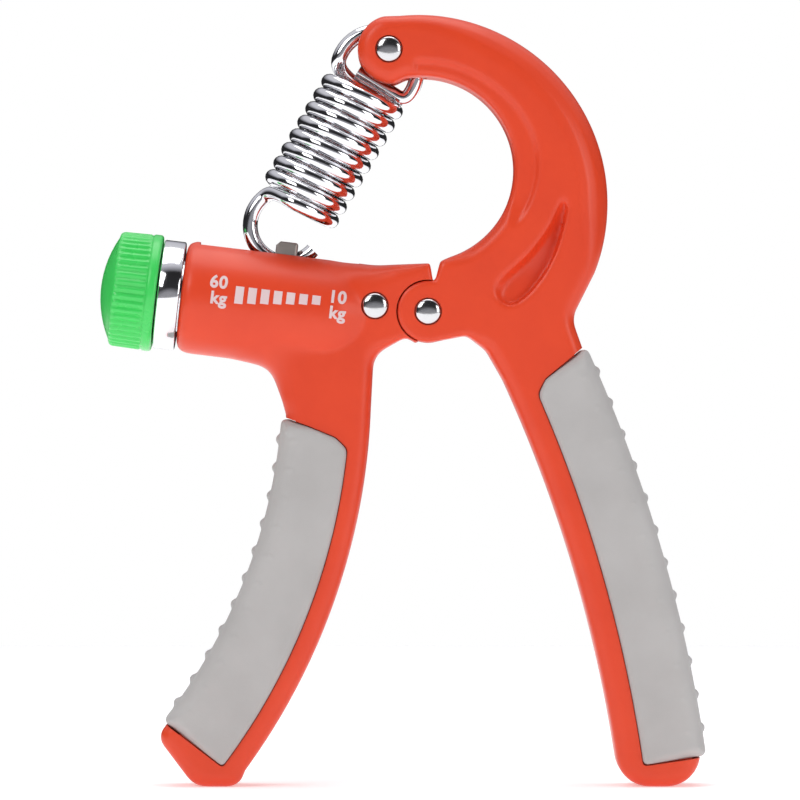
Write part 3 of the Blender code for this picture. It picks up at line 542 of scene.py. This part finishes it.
# Each line of the leaf: its outer edge, its inner edge and its depth at the outer edge.
leaf_lines = passing([
    (28.1, 23.9, 27.7, 23.5, 0.2), (28.7, 21.2, 26.4, 20.8, 1.8), (28.1, 17.9, 24.5, 17.0, 2.9),
    (26.7, 13.0, 20.9, 12.4, 3.4), (24.8, 8.9, 17.4, 9.2, 3.4), (22.9, 6.0, 15.0, 7.2, 3.0),
    (20.8, 3.6, 13.6, 5.2, 2.4), (18.6, 1.9, 13.8, 3.4, 1.8), (16.6, 1.3, 14.9, 2.1, 1.0),
], 5)
leaf = [[(outer_x, -PAST, outer_z), (outer_x, -HALF + depth, outer_z),
         (inner_x * 0.72 + outer_x * 0.28, -HALF + depth * 0.72, inner_z * 0.72 + outer_z * 0.28),
         (inner_x, -HALF - 0.1, inner_z), (inner_x, -PAST, inner_z)]
        for outer_x, outer_z, inner_x, inner_z, depth in leaf_lines]

right_leg = Leg((15.5, -14.1), (29.7, -51.6), (39.1, -93.6), 17.6, 0.0, 1)
right_corners = [(2.5, 10.4, 0.3)]
right_corners += plain(arc(INSIDE_C, 19.1, -72.0, 100.0, 60))
right_corners += plain(arc(ARM_TIP, 7.1, 275.0, 104.0, 30))
right_corners += plain(arc(OUTSIDE_C, OUTSIDE_RADIUS, 96.0, -22.0, 60))
right_corners += [(29.8, -1.4, 5.0)]
right_corners += plain(right_leg.edge(2.0, right_leg.length - 2.0, 40, 1.0))
right_corners += [(57.2, FLOOR, 7.0), (39.9, FLOOR, 7.0)]
right_corners += plain(right_leg.edge(right_leg.length - 4.0, 0.0, 40, 0.0))
right_corners += [(12.0, -8.0, 4.0), (8.0, -4.9, 2.0)]
right_corners += plain(arc((0.0, 0.0), HUB, -72.0, -283.0, 50))
right_handle = plate("right_handle_body", fillet(right_corners), HALF, arm_rounding)
combine(right_handle, [skin("band_front", band), skin("band_back", band, -1),
                       skin("leaf_front", leaf), skin("leaf_back", leaf, -1)])
melt(right_handle, 0.44, 4)
RIGHT_PAD = (right_leg, 5.4, (0.8, 3.6), right_leg.length + 1.0)
combine(right_handle, [
    turned("tongue_slot", [(-5.0, 0.0), (-5.0, 6.6), (5.0, 6.6), (5.0, 0.0)], 96,
           frame_at=along_y(0.0, 0.0)),
    rivet_seat(0.0, 0.0),
    rivet_seat(*SPRING_RIVET),
    turned("loop_slot", [(-2.15, 0.0), (-2.15, 10.45), (2.15, 10.45), (2.15, 0.0)], 96,
           frame_at=along_y(-10.61, 50.03)),
] + pad_seat(*RIGHT_PAD))
crisp(right_handle, ORANGE)
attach(right_handle, "arm")
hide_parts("right_handle")


# ---- Grip pads ----
# Matt grey thermoplastic rubber, moulded as a channel over each leg's core, so it wraps the
# outer edge and shows on both faces. Low ribs for the fingers or the palm cross the outer
# edge and run out on the faces.
GREY = finish("grip_rubber", (0.50, 0.485, 0.475), (0.46, 0.445, 0.435), 0.66, 0.06, 0.22, 0.03)
tune(GREY, {"Sheen Weight": 0.12, "Specular IOR Level": 0.35})


def grip_pad(name, leg, strip, top, bottom, ribs):
    """A rubber channel on a leg, with its ribs fused on and its core left out."""
    outer, flare = leg.width + PAD_PROUD, leg.flare

    def soft_edge(point):
        spot = Vector(point) - leg.centre
        across = (spot.length - leg.radius) * leg.outward
        share = min(1.0, max(0.0, (across - outer + 5.0) / 4.0))
        return 0.9 + 2.4 * share * share * (3 - 2 * share)

    pad = plate(name, leg.region([
        (bottom, strip, 0.8), (top[1] + 2.2, strip, 2.2), (top[1], strip + 2.6, 2.0),
        (top[0], outer, 1.2), (bottom, outer + flare, 1.2)]), 9.7, soft_edge)
    pitch = (bottom - top[0] - 4.0) / ribs
    bars = []
    for number in range(ribs):
        along = top[0] + 2.0 + (number + 0.5) * pitch
        x, z = leg.at(along, outer + flare * along / leg.length - 3.2)
        ahead = Vector(leg.at(along + 0.5, 0.0)) - Vector(leg.at(along - 0.5, 0.0))
        bpy.ops.object.select_all(action="DESELECT")
        bpy.ops.mesh.primitive_uv_sphere_add(segments=32, ring_count=20, radius=1.0)
        bar = bpy.context.object
        bar.matrix_world = Matrix.Translation((PIVOT + Vector((x, 0.0, z))) * MM) \
            @ Matrix.Rotation(-math.atan2(ahead.y, ahead.x), 4, "Y") \
            @ Matrix.Diagonal((1.9 * MM, 10.0 * MM, 4.0 * MM, 1.0))
        bpy.ops.object.transform_apply(location=True, rotation=True, scale=True)
        bars.append(bar)
    choose(pad, *bars)
    bpy.ops.object.join()
    melt(pad, 0.36, 5)
    core = leg.region([(bottom + 3.0, 1.0, 0.0), (top[0] - 4.0, 1.0, 0.0),
                       (top[0] - 4.0, outer - 2.7, 0.0), (bottom + 3.0, outer - 2.7, 0.0)])
    combine(pad, [plate("core", core, 7.3, lambda point: 0.0)])
    crisp(pad, GREY)
    return pad


left_grip = grip_pad("left_grip_pad", *LEFT_PAD, 11)
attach(left_grip, "frame")
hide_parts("left_grip")
right_grip = grip_pad("right_grip_pad", *RIGHT_PAD, 12)
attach(right_grip, "arm")
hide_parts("right_grip")


# ---- Rivets, washers and hinge sleeve ----
# Three nickel-plated steel rivets: the main hinge, the pin through the barrel's end block
# and the pin that holds the spring's loop. Each has a domed head in front and a rolled tail
# over a washer behind. A steel sleeve and two nylon washers sit inside the hinge.
CHROME = finish("bright_plating", (0.86, 0.86, 0.88), (0.80, 0.80, 0.83), 0.09, 0.03, 0.5, 0.003,
                1.0)
NICKEL = finish("nickel_plating", (0.70, 0.70, 0.71), (0.60, 0.60, 0.61), 0.14, 0.04, 0.4, 0.006,
                1.0)
STEEL = finish("plain_steel", (0.42, 0.42, 0.43), (0.34, 0.34, 0.35), 0.34, 0.08, 0.25, 0.01, 1.0)
NYLON = finish("natural_nylon", (0.80, 0.79, 0.73), (0.74, 0.72, 0.66), 0.48, 0.05, 0.3, 0.01)


def rivet(name, body, x, z):
    """One rivet: its half-section from the domed head to the rolled tail, turned."""
    head = [(-9.55 + 0.75 * (1 - math.cos(math.radians(angle))),
             2.6 * math.sin(math.radians(angle))) for angle in range(0, 91, 10)]
    piece = turned(name + "_bright", head + [
        (-8.1, 2.6), (-7.8, 2.45), (-7.8, 1.5), (7.8, 1.5), (7.8, 2.0), (8.0, 2.25), (8.35, 2.3),
        (8.75, 2.1), (8.95, 1.7), (9.0, 1.3), (8.85, 0.9), (8.7, 0.0)], 64,
        frame_at=along_y(x, z))
    crisp(piece, NICKEL)
    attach(piece, body)
    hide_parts(name)


rivet("pivot_rivet", "arm", 0.0, 0.0)
rivet("barrel_rivet", "frame", *BARREL_RIVET)
rivet("spring_rivet", "arm", *SPRING_RIVET)


def dress(material, *names):
    """Give CAD pieces that are seen as they are their finish."""
    for name in names:
        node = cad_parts[name]
        for slot in node.material_slots:
            slot.material = material


dress(STEEL, "pivot_sleeve", "pivot_rivet_washer", "barrel_rivet_washer", "spring_rivet_washer")
dress(NYLON, "hinge_washer_front", "hinge_washer_back", "end_block")


# ---- Barrel ring ----
# A plated ring that closes the barrel's open end and carries the screw's journal. Its
# spigot sits in the bore.
ring_ease = [(51.5, 10.9), (51.56, 11.15), (51.8, 11.3), (55.7, 11.3), (55.94, 11.15), (56.0, 10.9)]
ring = turned("barrel_ring_bright", [(49.5, 2.6), (49.5, 7.4), (51.5, 7.4)] + ring_ease
              + [(56.0, 2.6)], 128, True)
crisp(ring, CHROME)
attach(ring, "frame")
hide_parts("barrel_ring")


# ---- Knob and cap ----
# Green ABS. The knob has a smooth flange next to the ring and fine moulded flutes that taper
# a little towards its end. The domed cap is pressed in and hides the screw.
GREEN = finish("green_moulding", (0.058, 0.70, 0.125), (0.050, 0.64, 0.110), 0.28, 0.03, 0.35,
               0.012)
tune(GREEN, {"Coat Weight": 0.10, "Coat Roughness": 0.12})
FLUTES = 48
FLUTE_DEPTH = 0.34
grip_rows = [(58.9 + 5.4 * row / 9, 12.05 - 0.12 * row / 9) for row in range(10)]
knob = turned("knob_fluted", [
    (57.3, 2.6), (57.3, 7.3), (56.3, 7.3), (56.3, 11.6), (56.4, 11.9), (56.7, 12.12),
    (57.1, 12.15), (58.0, 12.15), (58.25, 12.05), (58.4, 11.85), (58.6, 11.9),
] + grip_rows + [
    (64.7, 11.83), (65.0, 11.65), (65.2, 11.4), (65.3, 11.1), (63.8, 11.1), (63.8, 5.1),
    (58.1, 5.1), (58.1, 2.6)], 384, True)
from_world = BARREL_FRAME.inverted()
for vertex in knob.data.vertices:
    spot = from_world @ vertex.co / MM
    reach = math.hypot(spot.y, spot.z)
    if reach > 11.3 and spot.x > 58.5:
        near_end = min(1.0, (65.25 - spot.x) / 0.7, (spot.x - 58.5) / 0.3)
        wave = 0.5 - 0.5 * math.cos(FLUTES * math.atan2(spot.z, spot.y))
        cut = FLUTE_DEPTH * near_end * wave ** 1.5
        spot.y *= 1 - cut / reach
        spot.z *= 1 - cut / reach
        vertex.co = BARREL_FRAME @ (spot * MM)
crisp(knob, GREEN, 40.0)
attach(knob, "knob_set")
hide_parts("knob")
dome = [(65.3 + 2.8 - 22.23 + math.sqrt(22.23 ** 2 - radius ** 2), radius)
        for radius in (10.55, 10.0, 9.0, 7.5, 6.0, 4.5, 3.0, 1.5, 0.0)]
cap = turned("knob_cap_domed", [(64.1, 0.0), (64.1, 10.8), (65.2, 10.8), (65.36, 10.72)] + dome,
             128)
crisp(cap, GREEN)
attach(cap, "knob_set")
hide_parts("knob_cap")


# ---- Screw and what is fixed to it ----
# A steel trapezoidal screw with a plain journal and a hexagon that drives the knob through
# a brass insert. A clip and a thrust washer hold it in the ring.
BRASS = finish("turned_brass", (0.66, 0.47, 0.18), (0.56, 0.39, 0.14), 0.28, 0.06, 0.3, 0.01, 1.0)
THREAD = finish("oiled_screw", (0.36, 0.36, 0.37), (0.26, 0.26, 0.27), 0.26, 0.08, 0.25, 0.008,
                1.0)
thread_nodes, thread_links = THREAD.node_tree.nodes, THREAD.node_tree.links
turns = thread_nodes.new("ShaderNodeTexWave")
turns.bands_direction = "X"
turns.inputs["Scale"].default_value = 1.0 / (1.5 * MM) / 20.0 * math.pi
turns.inputs["Distortion"].default_value = 0.0
ridges = thread_nodes.new("ShaderNodeBump")
ridges.inputs["Distance"].default_value = 0.4 * MM
thread_links.new(thread_nodes["Texture Coordinate"].outputs["Object"], turns.inputs["Vector"])
thread_links.new(turns.outputs["Fac"], ridges.inputs["Height"])
thread_links.new(thread_nodes["Bump"].outputs["Normal"], ridges.inputs["Normal"])
thread_links.new(ridges.outputs["Normal"],
                 thread_nodes["Principled BSDF"].inputs["Normal"])
dress(THREAD, "adjusting_screw")
dress(STEEL, "retaining_clip", "thrust_washer", "knob_screw")
dress(BRASS, "knob_insert")


# ---- Carriage ----
# A sawn steel nut that runs on the screw inside the bore. Its lug stands out of the
# barrel's slot and has an eye for the spring's hook, which swings in a groove along the nut.
SAWN = finish("sawn_steel", (0.46, 0.41, 0.38), (0.30, 0.27, 0.25), 0.40, 0.10, 0.20, 0.09, 1.0)
carriage = turned("carriage_nut", [(26.2, 3.3), (26.2, 7.1), (26.5, 7.4), (34.9, 7.4), (35.2, 7.1),
                                   (35.2, 3.3)], 64, True)
lug = block("lug", (28.45, -3.15, 4.5), (32.95, 3.15, 13.8), edge=0.45)
combine(carriage, [lug], "UNION")
chamfer = block("chamfer", (-3.0, -5.0, 0.0), (3.0, 5.0, 3.0),
                BARREL_FRAME @ Matrix.Translation(Vector((32.4, 0.0, 13.45)) * MM)
                @ Matrix.Rotation(math.radians(45.0), 4, "Y"))
combine(carriage, [chamfer, block("hook_eye", (25.4, -1.95, 5.9), (36.0, 1.95, 12.5),
                                  edge=0.6)])
crisp(carriage, SAWN)
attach(carriage, "carriage")
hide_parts("carriage")


# ---- Spring ----
# One hard-drawn, plated steel wire: a hook through the carriage's lug, nine open turns and a
# loop round the spring rivet. It is two lengths that meet in a turn.
WIRE = 3.1
COIL_RADIUS = 7.6
COIL_TURNS = 9
COIL_START = 8.6                     # the first turn, from the rivet
COIL_PITCH = 3.28
LOOP_RADIUS = 8.3
LOOP_DROP = 4.95                     # the loop's middle, from the rivet
HOOK_RADIUS = 7.5
SPLIT = 6.0                          # the turn where the two lengths meet
rivet_spot = Vector((-2.9, 0.0, 152.7))
hook_spot = Vector((-24.271, 0.0, 116.345))
lean = (rivet_spot - hook_spot).normalized()
square = Vector((lean.z, 0.0, -lean.x))
depth = Vector((0.0, 1.0, 0.0))


def ring_point(distance, radius, bearing):
    """A point on a flat hook or loop, a distance down the spring from its rivet."""
    angle = math.radians(bearing)
    return (rivet_spot - lean * (distance - radius * math.sin(angle))
            + square * radius * math.cos(angle))


def coil_point(turn):
    """A point on the coils, counted in turns from the lower end."""
    angle = math.pi + 2 * math.pi * turn
    down = COIL_START + COIL_PITCH * (COIL_TURNS - turn)
    return (rivet_spot - lean * down + square * COIL_RADIUS * math.cos(angle)
            + depth * COIL_RADIUS * math.sin(angle))


def joined_way(start, start_way, end, end_way, pull, count=14):
    """Points between two lengths of wire, leaving and arriving along their directions."""
    reach = (end - start).length * pull
    first, second = start + start_way * reach, end - end_way * reach
    return [start * (1 - t) ** 3 + first * 3 * t * (1 - t) ** 2
            + second * 3 * t * t * (1 - t) + end * t ** 3
            for t in [step / count for step in range(1, count)]]


def wire(name, route):
    """A closed round wire along a route."""
    curve = bpy.data.curves.new(name, "CURVE")
    curve.dimensions = "3D"
    curve.bevel_depth = WIRE / 2 * MM
    curve.bevel_resolution = 6
    curve.use_fill_caps = True
    spline = curve.splines.new("POLY")
    spline.points.add(len(route) - 1)
    for point, spot in zip(spline.points, route):
        point.co = (*(spot * MM), 1.0)
    piece = bpy.data.objects.new(name, curve)
    bpy.context.scene.collection.objects.link(piece)
    choose(piece)
    bpy.ops.object.convert(target="MESH")
    piece = bpy.context.object
    bpy.ops.object.mode_set(mode="EDIT")
    bpy.ops.mesh.select_all(action="SELECT")
    bpy.ops.mesh.remove_doubles(threshold=0.000005)
    bpy.ops.mesh.normals_make_consistent(inside=False)
    bpy.ops.object.mode_set(mode="OBJECT")
    crisp(piece, CHROME, 50.0)
    return piece


hook_distance = (rivet_spot - hook_spot).length
hook = [ring_point(hook_distance, HOOK_RADIUS, bearing) for bearing in range(348, 158, -6)]
hook_end_way = (hook[-1] - hook[-2]).normalized()
coil_way = (coil_point(0.26) - coil_point(0.24)).normalized()
hook += joined_way(hook[-1], hook_end_way, coil_point(0.25), coil_way, 0.32)
lower = hook + [coil_point(0.25 + (SPLIT - 0.25) * step / 230) for step in range(231)]
upper = [coil_point(SPLIT + (8.74 - SPLIT) * step / 110) for step in range(111)]
arch = [ring_point(LOOP_DROP, LOOP_RADIUS, bearing) for bearing in range(188, -4, -6)]
arch += [rivet_spot - lean * down + square * over for over, down in passing(
    [(LOOP_RADIUS, LOOP_DROP), (8.2, 6.0), (7.7, 6.9), (6.6, 7.3), (5.0, 7.3), (-3.4, 7.1)], 7)[1:]]
top_way = (coil_point(8.75) - coil_point(8.73)).normalized()
upper += joined_way(upper[-1], top_way, arch[0], (arch[1] - arch[0]).normalized(), 0.3)
upper += arch
lower_spring = wire("spring_lower_length", lower)
upper_spring = wire("spring_upper_length", upper)
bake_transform(upper_spring)
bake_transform(lower_spring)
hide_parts("spring_upper_loop", "spring_coils")
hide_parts("spring_lower_hook")


# ---- Printed load scale ----
# White pad print on the barrel's front: seven bars that shrink from the heavy setting to the
# light one, with generic figures in kilograms at the two ends.
PRINT = finish("white_print", (0.82, 0.64, 0.64), (0.77, 0.57, 0.58), 0.5, 0.05, 0.2, 0.01)
PRINT_FRAME = Matrix.Translation(BARREL_FOOT * MM) @ Matrix((
    (math.cos(BARREL_TILT), math.sin(BARREL_TILT), 0.0, 0.0),
    (0.0, 0.0, -1.0, 0.0),
    (-math.sin(BARREL_TILT), math.cos(BARREL_TILT), 0.0, 0.0),
    (0.0, 0.0, 0.0, 1.0)))
marks = []
for number in range(7):
    bpy.ops.object.select_all(action="DESELECT")
    bpy.ops.mesh.primitive_plane_add(size=1.0)
    bar = bpy.context.object
    height = 3.6 - 0.29 * number
    bar.matrix_world = PRINT_FRAME @ Matrix.Translation(
        Vector((-39.1 + 2.65 * number, 3.35 - height / 2, PAST)) * MM) \
        @ Matrix.Diagonal((1.75 * MM, height * MM, MM, 1.0))
    marks.append(bar)
for word, along, up in (("60", 43.6, 3.65), ("kg", 43.3, 0.35), ("10", 18.9, 3.45),
                        ("kg", 18.6, 0.2)):
    bpy.ops.object.select_all(action="DESELECT")
    bpy.ops.object.text_add()
    letters = bpy.context.object
    letters.data.body = word
    letters.data.size = 3.55 * MM
    letters.data.offset = 0.12 * MM
    letters.data.space_character = 1.08
    letters.data.align_x = "CENTER"
    letters.data.align_y = "CENTER"
    letters.data.resolution_u = 6
    choose(letters)
    bpy.ops.object.convert(target="MESH")
    letters = bpy.context.object
    letters.matrix_world = PRINT_FRAME @ Matrix.Translation(Vector((-along, up, PAST)) * MM)
    marks.append(letters)
choose(*marks)
bpy.ops.object.join()
bpy.ops.object.transform_apply(location=True, rotation=True, scale=True)
scale_print = bpy.context.object
scale_print.name = "load_scale"
bpy.ops.object.mode_set(mode="EDIT")
bpy.ops.mesh.select_all(action="SELECT")
bpy.ops.mesh.remove_doubles(threshold=0.000002)
bpy.ops.mesh.quads_convert_to_tris()
bpy.ops.mesh.subdivide(number_cuts=3)
bpy.ops.object.mode_set(mode="OBJECT")
wrap = scale_print.modifiers.new("wrap", "SHRINKWRAP")
wrap.target = left_handle
wrap.wrap_method = "PROJECT"
wrap.use_project_y = True
wrap.use_positive_direction = True
wrap.use_negative_direction = False
wrap.wrap_mode = "ON_SURFACE"
wrap.offset = 0.06 * MM
thick = scale_print.modifiers.new("thick", "SOLIDIFY")
thick.thickness = 0.05 * MM
thick.offset = 0.0
apply_all(scale_print)
crisp(scale_print, PRINT)
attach(scale_print, "frame")


# ---- Floor, light and camera ----
# A plain white floor and surround under three large soft boxes. What the metal mirrors is
# dim at the horizon's sides and above it in front, so that its plating shows dark and light
# bands.
bpy.ops.object.select_all(action="DESELECT")
bpy.ops.mesh.primitive_plane_add(size=1.7)
floor = bpy.context.object
floor.name = "studio_floor"
PAPER = finish("white_paper", (0.92, 0.92, 0.92), (0.91, 0.91, 0.91), 0.9, 0.02, 1.5, 0.01)
tune(PAPER, {"Emission Color": (1.0, 1.0, 1.0, 1.0), "Emission Strength": 0.38})
crisp(floor, PAPER)

world = bpy.data.worlds.new("studio")
bpy.context.scene.world = world
world.use_nodes = True
sky, sky_links = world.node_tree.nodes, world.node_tree.links
around = sky.new("ShaderNodeTexCoord")
split = sky.new("ShaderNodeSeparateXYZ")
shade = sky.new("ShaderNodeValToRGB")
for place, level in ((0.14, 0.30), (0.24, 0.03), (0.62, 0.02), (0.78, 0.60)):
    shade.color_ramp.elements.new(place).color = (level, level, level * 1.08, 1.0)
shade.color_ramp.elements[0].color = (0.34, 0.34, 0.35, 1.0)
shade.color_ramp.elements[5].color = (0.75, 0.75, 0.76, 1.0)
ahead = sky.new("ShaderNodeMath")
ahead.operation = "MINIMUM"
ahead.inputs[1].default_value = 0.0
level_up = sky.new("ShaderNodeMath")
level_up.operation = "MULTIPLY_ADD"
level_up.inputs[1].default_value = 0.8
height = sky.new("ShaderNodeMapRange")
height.inputs["From Min"].default_value = -1.0
height.inputs["From Max"].default_value = 1.0
sky_links.new(around.outputs["Generated"], split.inputs["Vector"])
sky_links.new(split.outputs["Y"], ahead.inputs[0])
sky_links.new(ahead.outputs["Value"], level_up.inputs[0])
sky_links.new(split.outputs["Z"], level_up.inputs[2])
sky_links.new(level_up.outputs["Value"], height.inputs["Value"])
sky_links.new(height.outputs["Result"], shade.inputs["Fac"])
seen = sky.new("ShaderNodeLightPath")
either = sky.new("ShaderNodeMix")
either.data_type = "RGBA"
either.inputs[7].default_value = (1.0, 1.0, 1.0, 1.0)
sky_links.new(seen.outputs["Is Camera Ray"], either.inputs["Factor"])
sky_links.new(shade.outputs["Color"], either.inputs[6])
sky_links.new(either.outputs[2], sky["Background"].inputs["Color"])
sky["Background"].inputs["Strength"].default_value = 1.0

for name, spot, size, power in (("key_box", (-0.75, -0.95, 0.85), 0.7, 6.2),
                                ("fill_box", (0.95, -0.85, 0.35), 0.6, 3.4),
                                ("top_box", (0.0, 0.1, 1.1), 0.9, 5.2)):
    bpy.ops.object.light_add(type="AREA", location=spot)
    light = bpy.context.object
    light.name = name
    light.data.size = size
    light.data.energy = power
    aim = Vector((0.0, 0.0, 0.08)) - Vector(spot)
    light.rotation_euler = aim.to_track_quat("-Z", "Y").to_euler()

bpy.ops.object.camera_add(location=(-0.00061, -1.5, 0.08008), rotation=(math.pi / 2, 0.0, 0.0))
camera = bpy.context.object
camera.data.lens = 36.0 * 1.5 / 0.1664
camera.data.clip_end = 20.0
bpy.context.scene.camera = camera
bpy.context.scene.view_settings.view_transform = "Standard"
